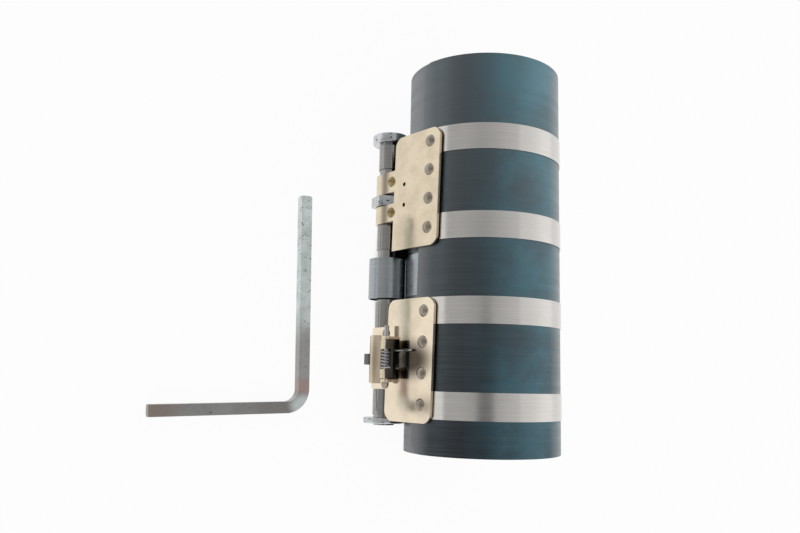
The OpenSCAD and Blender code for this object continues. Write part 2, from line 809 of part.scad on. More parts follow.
// The loose square key, bent to an L and laid on the table
module square_key() {
    color("lightsteelblue") translate([key_x, key_y, floor_z]) rotate([0, 0, key_turn]) {
        rotate([0, 0, 90]) key_leg(key_bend_r, key_long);
        rotate([0, 0, 180]) key_leg(key_bend_r, key_short);
        translate([-key_bend_r, key_bend_r, 0])
            ring_part(key_bend_r - key_bar / 2, key_bar, key_bar, 270, 90);
    }
}

sleeve();
band(band_ys[0]);  // band_1
band(band_ys[1]);  // band_2
band(band_ys[2]);  // band_3
band(band_ys[3]);  // band_4
upper_bracket();
lower_bracket();
bracket_rivets(upper_rivet_ys);  // upper_rivets
bracket_rivets(lower_rivet_ys);  // lower_rivets
clamp_screws();
clamp_nuts();
tail_rivets();
spindle_strap();
winding_shaft();
flange(top_flange_y, top_flange_t, top_flange_r);  // top_flange
flange(bottom_flange_y, bottom_flange_t, bottom_flange_r);  // bottom_flange
hex_collar();
ratchet_wheel();
band_coil(band_ys[0]);  // band_coil_1
band_coil(band_ys[1]);  // band_coil_2
band_coil(band_ys[2]);  // band_coil_3
band_coil(band_ys[3]);  // band_coil_4
spindle_bush();
pawl_lever();
pawl_pin();
pawl_spring();
square_key();
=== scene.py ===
"""Looks of a piston ring compressor: blued sleeve, bright bands, nickelled brackets and a loose key.

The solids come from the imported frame. This script rounds the edges of the sheet metal, gives every
piece its finish, and sets up the table, the light and the camera. Lengths are in metres.
"""

from __future__ import annotations

import logging
import math
from dataclasses import dataclass, replace
from enum import Enum

import bmesh
import bpy
from mathutils import Matrix, Vector

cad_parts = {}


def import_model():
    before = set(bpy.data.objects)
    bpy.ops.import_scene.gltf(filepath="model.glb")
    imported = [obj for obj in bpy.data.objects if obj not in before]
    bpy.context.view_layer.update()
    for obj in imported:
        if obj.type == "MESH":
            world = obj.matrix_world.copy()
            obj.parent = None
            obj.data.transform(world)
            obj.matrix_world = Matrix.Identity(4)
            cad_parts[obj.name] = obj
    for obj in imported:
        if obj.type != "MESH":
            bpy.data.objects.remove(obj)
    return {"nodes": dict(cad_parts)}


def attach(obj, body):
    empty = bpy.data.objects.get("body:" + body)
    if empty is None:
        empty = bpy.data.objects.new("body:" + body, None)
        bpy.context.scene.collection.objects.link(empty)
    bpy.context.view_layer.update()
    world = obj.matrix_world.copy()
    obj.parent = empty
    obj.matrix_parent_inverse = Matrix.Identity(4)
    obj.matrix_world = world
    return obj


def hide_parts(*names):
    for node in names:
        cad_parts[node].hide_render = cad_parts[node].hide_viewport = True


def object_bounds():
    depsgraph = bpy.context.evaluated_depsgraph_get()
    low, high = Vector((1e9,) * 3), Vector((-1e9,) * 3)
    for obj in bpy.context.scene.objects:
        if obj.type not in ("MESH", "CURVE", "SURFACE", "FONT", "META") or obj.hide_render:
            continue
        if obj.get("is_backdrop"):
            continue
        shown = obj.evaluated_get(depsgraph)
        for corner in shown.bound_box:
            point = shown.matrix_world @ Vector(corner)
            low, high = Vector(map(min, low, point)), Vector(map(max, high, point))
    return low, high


Place = tuple[float, float, float]
Colour = tuple[float, float, float]
Span = tuple[float, float]
Node = bpy.types.Node
Socket = bpy.types.NodeSocket
Tree = bpy.types.NodeTree

LOG = logging.getLogger("ring_compressor")
MM = 0.001
WHITE: Colour = (1.0, 1.0, 1.0)
# Height of a full streak in a brushed surface
GRAIN_DEPTH = 0.02 * MM
# All values of a mask
WHOLE: Span = (0.0, 1.0)
# Where most values of a noise lie
MOST: Span = (0.3, 0.7)


class Lay(Enum):
    """Which way a surface's grain runs, as how tightly a pattern is packed along X, Y and Z."""

    ROUND = (35.0, 2600.0, 35.0)
    TURNED = (60.0, 4200.0, 60.0)
    LENGTHWISE = (1800.0, 60.0, 1800.0)
    EVEN = (900.0, 900.0, 900.0)


class Body(Enum):
    """The rigid bodies of the tool, by their names in the frame."""

    FRAME = "frame"
    SPINDLE = "spindle"
    PAWL = "pawl"
    KEY = "key"


@dataclass(frozen=True)
class StainOrLight:
    """A soft patch of another colour, used both for real tarnish and rust and for painted shade, shadow
    and reflections.

    It is full within its full share of the reach along X, Y and Z, and gone at the whole reach.
    """

    middle: Place
    reach: Place
    colour: Colour
    share: float
    full: float


class NodeBench:
    """A node tree, with short ways to place and link its nodes."""

    def __init__(self, tree: Tree) -> None:
        """Work on that node tree."""
        self.tree = tree

    def put(self, value: object, socket: Socket) -> None:
        """Feed a socket.

        Args:
            value: Another socket, which is linked, or a plain value, which is set.
            socket: The socket to feed.
        """
        if isinstance(value, bpy.types.NodeSocket):
            self.tree.links.new(value, socket)
        else:
            socket.default_value = value

    def place(self) -> Socket:
        """Return the place on the piece, in Object coordinates."""
        return self.tree.nodes.new("ShaderNodeTexCoord").outputs["Object"]

    def noise(self, place: Socket, scale: float | Socket, detail: float, roughness: float) -> Socket:
        """Add a noise.

        Args:
            place: The place at which it is read.
            scale: How tightly it is packed.
            detail: Number of finer layers in it.
            roughness: Share of each finer layer.

        Returns:
            The noise's socket.
        """
        node = self.tree.nodes.new("ShaderNodeTexNoise")
        self.put(place, node.inputs["Vector"])
        self.put(scale, node.inputs["Scale"])
        self.put(detail, node.inputs["Detail"])
        self.put(roughness, node.inputs["Roughness"])
        return node.outputs["Fac"]

    def vector(self, operation: str, first: Socket, second: Place | Socket | None = None) -> Node:
        """Add a step of vector arithmetic.

        Args:
            operation: The step's name in Blender.
            first: The first vector.
            second: The second vector, where the step takes two.

        Returns:
            The step's node.
        """
        node = self.tree.nodes.new("ShaderNodeVectorMath")
        node.operation = operation
        self.put(first, node.inputs[0])
        if second is not None:
            self.put(second, node.inputs[1])
        return node

    def number(self, operation: str, first: Socket, second: float | Socket) -> Socket:
        """Add a step of arithmetic with two numbers.

        Args:
            operation: The step's name in Blender.
            first: The first number.
            second: The second number.

        Returns:
            The result's socket.
        """
        node = self.tree.nodes.new("ShaderNodeMath")
        node.operation = operation
        self.put(first, node.inputs[0])
        self.put(second, node.inputs[1])
        return node.outputs["Value"]

    def mapped(
        self, value: Socket, span: tuple[float | Socket, float | Socket], ends: Span, soft: bool = False
    ) -> Socket:
        """Map a value from one span of numbers onto another.

        Args:
            value: The value.
            span: Values at which the two ends are reached.
            ends: Numbers given at those values.
            soft: Whether the change starts and stops softly.

        Returns:
            The mapped value's socket.
        """
        node = self.tree.nodes.new("ShaderNodeMapRange")
        if soft:
            node.interpolation_type = "SMOOTHSTEP"
        titles = ("Value", "From Min", "From Max", "To Min", "To Max")
        for title, number in zip(titles, (value, *span, *ends)):
            self.put(number, node.inputs[title])
        return node.outputs["Result"]

    def blend(self, factor: Socket, first: Colour | Socket, second: Colour | Socket) -> Socket:
        """Mix two colours by a mask.

        Args:
            factor: The mask.
            first: Colour where the mask is 0.
            second: Colour where the mask is 1.

        Returns:
            The mixed colour's socket.
        """
        node = self.tree.nodes.new("ShaderNodeMix")
        node.data_type = "RGBA"
        self.put(factor, node.inputs["Factor"])
        for title, value in (("A", first), ("B", second)):
            socket = next(s for s in node.inputs if s.name == title and s.type == "RGBA")
            self.put((*value, 1.0) if isinstance(value, tuple) else value, socket)
        return next(s for s in node.outputs if s.type == "RGBA")

    def mixed(self, factor: Socket, first: Socket, second: Socket) -> Socket:
        """Mix two shaders.

        Args:
            factor: Share of the second shader.
            first: The first shader.
            second: The second shader.

        Returns:
            The mixed shader's socket.
        """
        node = self.tree.nodes.new("ShaderNodeMixShader")
        for socket, value in zip(node.inputs, (factor, first, second)):
            self.put(value, socket)
        return node.outputs["Shader"]

    def effect(self, group: EffectGroup, **values: object) -> Node:
        """Place a shared effect with its own values.

        Args:
            group: The effect.
            values: Input values by socket name.

        Returns:
            The group node.
        """
        node = self.tree.nodes.new("ShaderNodeGroup")
        node.node_tree = group.tree()
        for title, value in values.items():
            self.put(value, node.inputs[title])
        return node

    def with_stain_or_light(self, base: Colour | Socket, stain_or_light: StainOrLight) -> Socket:
        """Lay a soft patch over a colour, of real tarnish and rust or of painted shade and light.

        Args:
            base: The colour beneath.
            stain_or_light: The patch, of real tarnish or of painted shade and light.

        Returns:
            The socket of the colour with the patch laid over it.
        """
        spot = self.effect(SoftSpot(), Middle=stain_or_light.middle, Reach=stain_or_light.reach, Full=stain_or_light.full)
        mask = self.mapped(spot.outputs["Spot"], WHOLE, (0.0, stain_or_light.share))
        return self.blend(mask, base, stain_or_light.colour)


class EffectGroup:
    """A shader node group with named sockets, built once and shared by the finishes."""

    name: str = ""
    inputs: tuple[tuple[str, str, object], ...] = ()
    outputs: tuple[str, ...] = ()

    def tree(self) -> Tree:
        """Return the group's node tree, building it on first use.

        Returns:
            The shared node tree.
        """
        found = bpy.data.node_groups.get(self.name)
        if found is not None:
            return found
        made = bpy.data.node_groups.new(self.name, "ShaderNodeTree")
        for title, kind, value in self.inputs:
            socket = made.interface.new_socket(name=title, in_out="INPUT", socket_type=kind)
            socket.default_value = value
        for title in self.outputs:
            made.interface.new_socket(name=title, in_out="OUTPUT", socket_type="NodeSocketFloat")
        self.fill(NodeBench(made), made.nodes.new("NodeGroupInput"), made.nodes.new("NodeGroupOutput"))
        return made

    def fill(self, bench: NodeBench, entry: Node, leave: Node) -> None:
        """Place and link the group's nodes.

        Args:
            bench: The new node tree's bench.
            entry: Its input node.
            leave: Its output node.
        """
        raise NotImplementedError


class BrushedGrain(EffectGroup):
    """Fine streaks, packed by a vector, with a slower unevenness over them."""

    name = "brushed_grain"
    inputs = (("Packing", "NodeSocketVector", Lay.ROUND.value),)
    outputs = ("Streak", "Drift")
    paces = (1.0, 0.12)
    detail = 4.0
    roughness = 0.65

    def fill(self, bench: NodeBench, entry: Node, leave: Node) -> None:
        """Stretch two noises along the grain.

        Args:
            bench: The new node tree's bench.
            entry: Its input node.
            leave: Its output node.
        """
        place = bench.place()
        for title, pace in zip(self.outputs, self.paces):
            packed = bench.vector("MULTIPLY", place, entry.outputs["Packing"]).outputs["Vector"]
            bench.put(bench.noise(packed, pace, self.detail, self.roughness), leave.inputs[title])


class Clouding(EffectGroup):
    """Soft patches, as handling and plating leave on a bright surface."""

    name = "plate_clouding"
    inputs = (("Size", "NodeSocketFloat", 120.0),)
    outputs = ("Cloud",)
    detail = 5.0
    roughness = 0.6
    spread = (0.35, 0.68)

    def fill(self, bench: NodeBench, entry: Node, leave: Node) -> None:
        """Spread one slow noise to its full range."""
        noise = bench.noise(bench.place(), entry.outputs["Size"], self.detail, self.roughness)
        bench.put(bench.mapped(noise, self.spread, WHOLE, soft=True), leave.inputs["Cloud"])


class Pitting(EffectGroup):
    """Scattered small pits and stains, gathered in patches."""

    name = "surface_pits"
    inputs = (
        ("Size", "NodeSocketFloat", 900.0),
        ("Spread", "NodeSocketFloat", 0.62),
    )
    outputs = ("Pit",)
    detail = 3.0
    roughness = 0.7
    edge = 0.06

    def fill(self, bench: NodeBench, entry: Node, leave: Node) -> None:
        """Keep the peaks of a fine noise.

        Args:
            bench: The new node tree's bench.
            entry: Its input node.
            leave: Its output node.
        """
        noise = bench.noise(bench.place(), entry.outputs["Size"], self.detail, self.roughness)
        start = entry.outputs["Spread"]
        full = bench.number("ADD", start, self.edge)
        bench.put(bench.mapped(noise, (start, full), WHOLE), leave.inputs["Pit"])


class SoftSpot(EffectGroup):
    """A patch round one place, full in its middle and gone at its reach."""

    name = "soft_spot"
    inputs = (
        ("Middle", "NodeSocketVector", (0.0, 0.0, 0.0)),
        ("Reach", "NodeSocketVector", (1.0, 1.0, 1.0)),
        ("Full", "NodeSocketFloat", 0.1),
    )
    outputs = ("Spot",)

    def fill(self, bench: NodeBench, entry: Node, leave: Node) -> None:
        """Measure the distance from the middle in reaches.

        Args:
            bench: The new node tree's bench.
            entry: Its input node.
            leave: Its output node.
        """
        offset = bench.vector("SUBTRACT", bench.place(), entry.outputs["Middle"]).outputs["Vector"]
        scaled = bench.vector("DIVIDE", offset, entry.outputs["Reach"]).outputs["Vector"]
        away = bench.vector("LENGTH", scaled).outputs["Value"]
        spot = bench.mapped(away, (entry.outputs["Full"], 1.0), (1.0, 0.0), soft=True)
        bench.put(spot, leave.inputs["Spot"])


class ShaderSheet(NodeBench):
    """A new material with a Principled shader."""

    def __init__(self, name: str) -> None:
        """Start a material.

        Args:
            name: The material's name.
        """
        self.material = bpy.data.materials.new(name)
        self.material.use_nodes = True
        super().__init__(self.material.node_tree)
        self.shader = self.tree.nodes["Principled BSDF"]

    def feed(self, title: str, value: object) -> None:
        """Link or set the shader's input of that name."""
        self.put(value, self.shader.inputs[title])

    def brush(self, grain: Node, sheen: Span, relief: float) -> None:
        """Let a grain roughen and raise the surface.

        Args:
            grain: The grain's group node.
            sheen: Roughness where the grain is smoothest and where it is roughest.
            relief: Strength of the raised streaks.
        """
        self.feed("Roughness", self.mapped(grain.outputs["Drift"], MOST, sheen))
        bump = self.tree.nodes.new("ShaderNodeBump")
        self.put(relief, bump.inputs["Strength"])
        self.put(GRAIN_DEPTH, bump.inputs["Distance"])
        self.put(grain.outputs["Streak"], bump.inputs["Height"])
        self.feed("Normal", bump.outputs["Normal"])


@dataclass(frozen=True)
class Finish:
    """A metal finish, which is one material on all the pieces that have it."""

    name: str

    def material(self) -> bpy.types.Material:
        """Return the finish as a material, building it on first use.

        Returns:
            The material.
        """
        found = bpy.data.materials.get(self.name)
        if found is not None:
            return found
        sheet = ShaderSheet(self.name)
        sheet.feed("Metallic", 1.0)
        self.paint(sheet)
        return sheet.material

    def paint(self, sheet: ShaderSheet) -> None:
        """Colour and brush a new material.

        Args:
            sheet: The material's sheet.
        """
        raise NotImplementedError


@dataclass(frozen=True)
class RolledSteel(Finish):
    """Rolled or turned steel with a running grain."""

    bright: Colour
    dull: Colour
    lay: Lay
    sheen: Span
    relief: float = 0.15
    streak_span: Span = (0.25, 0.75)
    cloud_size: float = 90.0
    cloud_share: float = 0.35

    def paint(self, sheet: ShaderSheet) -> None:
        """Streak the bright steel with the dull, and cloud it a little.

        Args:
            sheet: The material's sheet.
        """
        grain = sheet.effect(BrushedGrain(), Packing=self.lay.value)
        cloud = sheet.effect(Clouding(), Size=self.cloud_size)
        streak = sheet.mapped(grain.outputs["Streak"], self.streak_span, WHOLE)
        fine = sheet.blend(streak, self.bright, self.dull)
        worn = sheet.mapped(cloud.outputs["Cloud"], WHOLE, (0.0, self.cloud_share))
        sheet.feed("Base Color", sheet.blend(worn, fine, self.dull))
        sheet.brush(grain, self.sheen, self.relief)


@dataclass(frozen=True)
class BluedSteel(Finish):
    """Heat-blued spring sheet, brushed round the roll.

    Across X it is slate by its lip, then teal in patches, then grey on the far side, where the grey is
    a painted reflection of the table at a glancing angle. A painted reflection also lightens the lip.
    Slate and teal are darker towards the block end.
    """

    dark_slate: Colour
    pale_slate: Colour
    dark_teal: Colour
    pale_teal: Colour
    grey: Colour
    rub: Colour
    lip: StainOrLight
    # Painted reflection that lightens the lip
    teal_span: Span = (-0.023, -0.012)
    reflection_span: Span = (0.010, 0.021)
    reflection_share: float = 0.8
    length: float = 0.15
    cloud_size: float = 38.0
    cloud_share: float = 0.7
    rub_span: Span = (0.45, 0.8)
    rub_share: float = 0.3
    sheen: Span = (0.3, 0.46)
    relief: float = 0.2

    def paint(self, sheet: ShaderSheet) -> None:
        """Run the oxide's colours across and along the sleeve, paint reflections on the lip and the far
        side, then brush it.

        Args:
            sheet: The material's sheet.
        """
        parts = sheet.tree.nodes.new("ShaderNodeSeparateXYZ")
        sheet.put(sheet.place(), parts.inputs["Vector"])
        grain = sheet.effect(BrushedGrain(), Packing=Lay.ROUND.value)
        cloud = sheet.effect(Clouding(), Size=self.cloud_size)
        along = sheet.mapped(parts.outputs["Y"], (0.0, self.length), WHOLE)
        slate = sheet.blend(along, self.dark_slate, self.pale_slate)
        teal = sheet.blend(along, self.dark_teal, self.pale_teal)
        oxide = sheet.blend(sheet.mapped(parts.outputs["X"], self.teal_span, WHOLE), slate, teal)
        patchy = sheet.mapped(cloud.outputs["Cloud"], WHOLE, (0.0, self.cloud_share))
        uneven = sheet.blend(patchy, oxide, slate)
        # Painted reflection: the far side is blended towards a light grey, as if it mirrored the table.
        reflection_mask = sheet.mapped(parts.outputs["X"], self.reflection_span, (0.0, self.reflection_share))
        with_reflections = sheet.with_stain_or_light(sheet.blend(reflection_mask, uneven, self.grey), self.lip)
        rubbed = sheet.mapped(grain.outputs["Streak"], self.rub_span, (0.0, self.rub_share))
        sheet.feed("Base Color", sheet.blend(rubbed, with_reflections, self.rub))
        sheet.brush(grain, self.sheen, self.relief)


@dataclass(frozen=True)
class PlatedMetal(Finish):
    """Plated metal with soft clouding, scattered pits, and patches laid over it: real tarnish, and
    painted shade and reflections.
    """

    bright: Colour
    dull: Colour
    pit: Colour
    sheen: Span
    pit_spread: float = 0.74
    pit_size: float = 900.0
    stains_and_light: tuple[StainOrLight, ...] = ()
    cloud_size: float = 160.0
    relief: float = 0.05

    def paint(self, sheet: ShaderSheet) -> None:
        """Cloud and pit the plating, and lay its patches of tarnish, painted shade and painted
        reflection over it.

        Args:
            sheet: The material's sheet.
        """
        cloud = sheet.effect(Clouding(), Size=self.cloud_size)
        pits = sheet.effect(Pitting(), Size=self.pit_size, Spread=self.pit_spread)
        grain = sheet.effect(BrushedGrain(), Packing=Lay.EVEN.value)
        clouded = sheet.blend(cloud.outputs["Cloud"], self.bright, self.dull)
        plating = sheet.blend(pits.outputs["Pit"], clouded, self.pit)
        # Some patches are real tarnish, others painted shade and reflections; the constants say which.
        for stain_or_light in self.stains_and_light:
            plating = sheet.with_stain_or_light(plating, stain_or_light)
        sheet.feed("Base Color", plating)
        sheet.brush(grain, self.sheen, self.relief)


# A reach that sets no limit along its axis
FAR = 0.2
# Where the pawl sits, and a reach along its pin that covers its whole width
PAWL_X = -0.036
PAWL_Y = 0.03465
PAWL_REACH = 0.02
# The key's height, and the lines on which its foot and its stem lie
KEY_Z = -0.0285
KEY_FOOT_Y = 0.0165
KEY_STEM_X = -0.0645

# Painted reflection: the flat lip is lighter slate, as if it mirrored the bright table beside it.
LIP_REFLECTION = StainOrLight(
    middle=(-0.0315, 0.075, -0.002), reach=(0.012, 0.3, 0.0125),
    colour=(0.25, 0.255, 0.26), share=0.8, full=0.1,
)
# Painted reflection: a dark brown stripe along the tops of the curled knuckles.
KNUCKLE_REFLECTION = StainOrLight(
    middle=(-0.0348, 0.1, -0.0178), reach=(FAR, FAR, 0.0037),
    colour=(0.19, 0.165, 0.125), share=0.85, full=0.1,
)
# Painted shadow and reflection: a dark brown patch on the lower plate beside the pawl.
WHEEL_SHADE = StainOrLight(
    middle=(-0.032, 0.0344, 0.001), reach=(FAR, 0.0098, 0.0148),
    colour=(0.045, 0.037, 0.027), share=0.95, full=0.25,
)
# The tongue end of the pawl is coloured dark grey.
TONGUE_DARK_GREY = StainOrLight(
    middle=(PAWL_X, PAWL_Y, -0.0232), reach=(FAR, PAWL_REACH, 0.0046),
    colour=(0.15, 0.145, 0.14), share=1.0, full=0.96,
)
# Painted shadow and reflection: the pawl's tail is dark brown, like the plate beside it.
TAIL_SHADE = StainOrLight(
    middle=(PAWL_X, PAWL_Y, -0.0042), reach=(FAR, PAWL_REACH, 0.0052),
    colour=(0.045, 0.038, 0.03), share=0.94, full=0.85,
)
# Painted reflection: a brown stripe down the middle of the pawl's curved web.
WEB_REFLECTION = StainOrLight(
    middle=(PAWL_X, PAWL_Y, -0.0172), reach=(FAR, 0.0115, 0.0021),
    colour=(0.30, 0.225, 0.16), share=0.65, full=0.15,
)
STEM_TARNISH = StainOrLight(
    middle=(-0.066, 0.027, KEY_Z), reach=(0.03, 0.029, FAR),
    colour=(0.27, 0.25, 0.242), share=0.8, full=0.4,
)
FOOT_TARNISH = StainOrLight(
    middle=(-0.104, KEY_FOOT_Y, KEY_Z), reach=(0.046, 0.014, FAR),
    colour=(0.2, 0.185, 0.178), share=0.8, full=0.75,
)
STEM_RUST = StainOrLight(
    middle=(KEY_STEM_X, 0.0235, KEY_Z), reach=(0.02, 0.0048, FAR),
    colour=(0.40, 0.25, 0.215), share=0.55, full=0.2,
)
BRIGHT_BEND = StainOrLight(
    middle=(KEY_STEM_X, KEY_FOOT_Y, KEY_Z), reach=(0.0068, 0.0052, FAR),
    colour=(0.66, 0.72, 0.71), share=0.75, full=0.35,
)
FOOT_RUST = StainOrLight(
    middle=(-0.1195, KEY_FOOT_Y, KEY_Z), reach=(0.014, 0.014, FAR),
    colour=(0.29, 0.205, 0.17), share=0.6, full=0.1,
)

BLUED = BluedSteel(
    "blued_spring_sheet",
    dark_slate=(0.045, 0.052, 0.060),
    pale_slate=(0.125, 0.145, 0.155),
    dark_teal=(0.068, 0.144, 0.178),
    pale_teal=(0.118, 0.228, 0.272),
    # The painted reflection on the far side
    grey=(0.30, 0.315, 0.315),
    rub=(0.15, 0.18, 0.19),
    lip=LIP_REFLECTION,
)
STRIP = RolledSteel(
    "bright_strip", bright=(0.68, 0.66, 0.635), dull=(0.57, 0.55, 0.525), lay=Lay.ROUND,
    sheen=(0.12, 0.2),
)
COIL = RolledSteel(
    "wound_strip", bright=(0.41, 0.405, 0.385), dull=(0.27, 0.265, 0.25), lay=Lay.TURNED,
    sheen=(0.07, 0.14), relief=0.06,
)
TURNED = RolledSteel(
    "turned_shaft", bright=(0.43, 0.425, 0.41), dull=(0.30, 0.295, 0.28), lay=Lay.TURNED,
    sheen=(0.07, 0.15), relief=0.06,
)
STRAP = RolledSteel(
    "rolled_strap", bright=(0.44, 0.47, 0.49), dull=(0.34, 0.365, 0.385), lay=Lay.ROUND,
    sheen=(0.2, 0.34),
)
BUSH = RolledSteel(
    "turned_bush", bright=(0.20, 0.225, 0.245), dull=(0.13, 0.15, 0.165), lay=Lay.TURNED,
    sheen=(0.26, 0.4),
)
HARDENED = RolledSteel(
    "hardened_wheel", bright=(0.20, 0.20, 0.21), dull=(0.12, 0.12, 0.125), lay=Lay.TURNED,
    sheen=(0.3, 0.45),
)
WIRE = RolledSteel(
    "spring_wire", bright=(0.48, 0.48, 0.48), dull=(0.34, 0.34, 0.345), lay=Lay.EVEN,
    sheen=(0.2, 0.32),
)
DRAWN = RolledSteel(
    "drawn_pin", bright=(0.55, 0.55, 0.54), dull=(0.42, 0.42, 0.41), lay=Lay.LENGTHWISE,
    sheen=(0.2, 0.3),
)
# Nickel of the upper plate, with the knuckles' painted reflection.
NICKEL = PlatedMetal(
    "warm_nickel_knuckle_reflection", bright=(0.77, 0.66, 0.50), dull=(0.67, 0.57, 0.425),
    pit=(0.33, 0.27, 0.20), sheen=(0.13, 0.22), stains_and_light=(KNUCKLE_REFLECTION,),
)
# Painted light: the lower plate has a brighter copy of the same nickel, and the painted shadow by the
# pawl.
NICKEL_BY_WHEEL = replace(
    NICKEL, name="warm_nickel_lit_and_shaded", bright=(0.88, 0.76, 0.595), dull=(0.80, 0.685, 0.53),
    stains_and_light=(WHEEL_SHADE,),
)
# Nickel of the pawl, with painted shade on its tail, a painted reflection on its web and a dark grey
# tongue.
NICKEL_PAWL = replace(
    NICKEL, name="warm_nickel_pawl", stains_and_light=(TONGUE_DARK_GREY, TAIL_SHADE, WEB_REFLECTION),
)
NICKEL_RIVET = PlatedMetal(
    "warm_nickel_rivet", bright=(0.38, 0.335, 0.27), dull=(0.28, 0.245, 0.20),
    pit=(0.16, 0.13, 0.10), sheen=(0.09, 0.17),
)
YELLOW = PlatedMetal(
    "yellow_plate", bright=(0.42, 0.33, 0.15), dull=(0.24, 0.185, 0.08),
    pit=(0.10, 0.07, 0.03), sheen=(0.16, 0.28), pit_spread=0.66,
)
ZINC = PlatedMetal(
    "zinc_plate", bright=(0.68, 0.71, 0.72), dull=(0.46, 0.485, 0.495),
    pit=(0.05, 0.045, 0.04), sheen=(0.22, 0.38), pit_spread=0.59,
)
KEY_ZINC = PlatedMetal(
    "key_zinc", bright=(0.67, 0.74, 0.73), dull=(0.51, 0.56, 0.55),
    pit=(0.08, 0.068, 0.055), sheen=(0.24, 0.4), pit_spread=0.62, pit_size=700.0,
    stains_and_light=(STEM_TARNISH, FOOT_TARNISH, STEM_RUST, BRIGHT_BEND, FOOT_RUST),
)


@dataclass
class SubAssembly:
    """A group of solids that are dressed together."""

    nodes: dict[str, bpy.types.Object]
    weld_gap: float = 0.002 * MM
    flat_angle: float = math.radians(0.4)
    edge_angle: float = math.radians(35)
    crease_angle: float = math.radians(32)

    def coat(self, name: str, finish: Finish) -> None:
        """Give a solid its finish.

        Args:
            name: The solid's node name.
            finish: Its finish.
        """
        mesh = self.nodes[name].data
        mesh.materials.clear()
        mesh.materials.append(finish.material())
        LOG.info("%s: %s", name, finish.name)

    def rounded(self, name: str, width: float, segments: int) -> bpy.types.Mesh:
        """Copy a solid's mesh and round off its sharp edges.

        Args:
            name: The solid's node name.
            width: Width of the rounding, in metres.
            segments: Steps across the rounding.

        Returns:
            The rounded mesh.
        """
        shape = bmesh.new()
        shape.from_mesh(self.nodes[name].data)
        bmesh.ops.remove_doubles(shape, verts=shape.verts, dist=self.weld_gap)
        bmesh.ops.dissolve_limit(
            shape, angle_limit=self.flat_angle, verts=shape.verts, edges=shape.edges
        )
        sharp = [
            edge for edge in shape.edges
            if len(edge.link_faces) == 2 and edge.calc_face_angle(0.0) > self.edge_angle
        ]
        bmesh.ops.bevel(
            shape, geom=sharp, offset=width, offset_type="OFFSET", affect="EDGES",
            segments=segments, profile=0.5, material=-1, clamp_overlap=True,
        )
        for face in shape.faces:
            face.smooth = True
        mesh = bpy.data.meshes.new(f"{name}_rounded")
        shape.to_mesh(mesh)
        shape.free()
        mesh.set_sharp_from_angle(angle=self.crease_angle)
        return mesh

    def soften(self, name: str, body: Body, finish: Finish, width: float, segments: int = 2) -> None:
        """Replace a solid by a copy whose sharp edges are rounded off.

        Args:
            name: The solid's node name.
            body: The body that it moves with.
            finish: Its finish.
            width: Width of the rounding, in metres.
            segments: Steps across the rounding.
        """
        mesh = self.rounded(name, width, segments)
        mesh.materials.append(finish.material())
        piece = bpy.data.objects.new(f"{name}_rounded", mesh)
        bpy.context.scene.collection.objects.link(piece)
        flatten = piece.modifiers.new("even_normals", "WEIGHTED_NORMAL")
        flatten.keep_sharp = True
        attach(piece, body.value)
        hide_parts(name)
        LOG.info("%s: rounded %.2f mm, %s", name, width / MM, finish.name)


@dataclass
class RolledSleeve(SubAssembly):
    """The sleeve and the four bands that draw it tight."""

    bands: int = 4

    def dress(self) -> None:
        """Blue the sleeve and brighten the bands."""
        self.coat("sleeve", BLUED)
        for number in range(1, self.bands + 1):
            self.coat(f"band_{number}", STRIP)


@dataclass
class Brackets(SubAssembly):
    """Both bracket plates with their rivets, screws and strap."""

    edge: float = 0.16 * MM

    def dress(self) -> None:
        """Round the plates' edges and plate them."""
        self.soften("upper_bracket", Body.FRAME, NICKEL, self.edge)
        self.soften("lower_bracket", Body.FRAME, NICKEL_BY_WHEEL, self.edge)
        for name in ("upper_rivets", "lower_rivets", "tail_rivets"):
            self.coat(name, NICKEL_RIVET)
        self.coat("clamp_screws", YELLOW)
        self.soften("clamp_nuts", Body.FRAME, YELLOW, self.edge)
        self.coat("spindle_strap", STRAP)


@dataclass
class WindingSpindle(SubAssembly):
    """The shaft with its flanges, collar, wheel, bush and wound bands."""

    collar_edge: float = 0.22 * MM
    wheel_edge: float = 0.11 * MM
    coils: int = 4

    def dress(self) -> None:
        """Finish everything that turns with the shaft."""
        self.coat("winding_shaft", TURNED)
        for name in ("top_flange", "bottom_flange"):
            self.coat(name, ZINC)
        self.soften("hex_collar", Body.SPINDLE, ZINC, self.collar_edge)
        self.soften("ratchet_wheel", Body.SPINDLE, HARDENED, self.wheel_edge)
        self.coat("spindle_bush", BUSH)
        for number in range(1, self.coils + 1):
            self.coat(f"band_coil_{number}", COIL)


@dataclass
class PawlGear(SubAssembly):
    """The pawl, its pin and its spring."""

    edge: float = 0.14 * MM

    def dress(self) -> None:
        """Plate the pawl and finish its pin and spring."""
        self.soften("pawl_lever", Body.PAWL, NICKEL_PAWL, self.edge)
        self.coat("pawl_pin", DRAWN)
        self.coat("pawl_spring", WIRE)


@dataclass
class SquareKey(SubAssembly):
    """The loose L-shaped key."""

    edge: float = 0.3 * MM
    edge_segments: int = 3

    def dress(self) -> None:
        """Round the bar's corners and plate it."""
        self.soften("square_key", Body.KEY, KEY_ZINC, self.edge, self.edge_segments)


@dataclass(frozen=True)
class SoftLamp:
    """A square soft lamp that faces the middle of the sleeve."""

    name: str
    place: Place
    aim: Place = (0.0, 0.075, 0.0)
    side: float = 0.8
    watts: float = 0.3

    def hang(self) -> None:
        """Hang the lamp in the scene."""
        data = bpy.data.lights.new(self.name, "AREA")
        data.shape = "SQUARE"
        data.size = self.side
        data.energy = self.watts
        lamp = bpy.data.objects.new(self.name, data)
        lamp.location = self.place
        lamp.rotation_mode = "QUATERNION"
        lamp.rotation_quaternion = (Vector(self.aim) - Vector(self.place)).to_track_quat("-Z", "Y")
        bpy.context.scene.collection.objects.link(lamp)


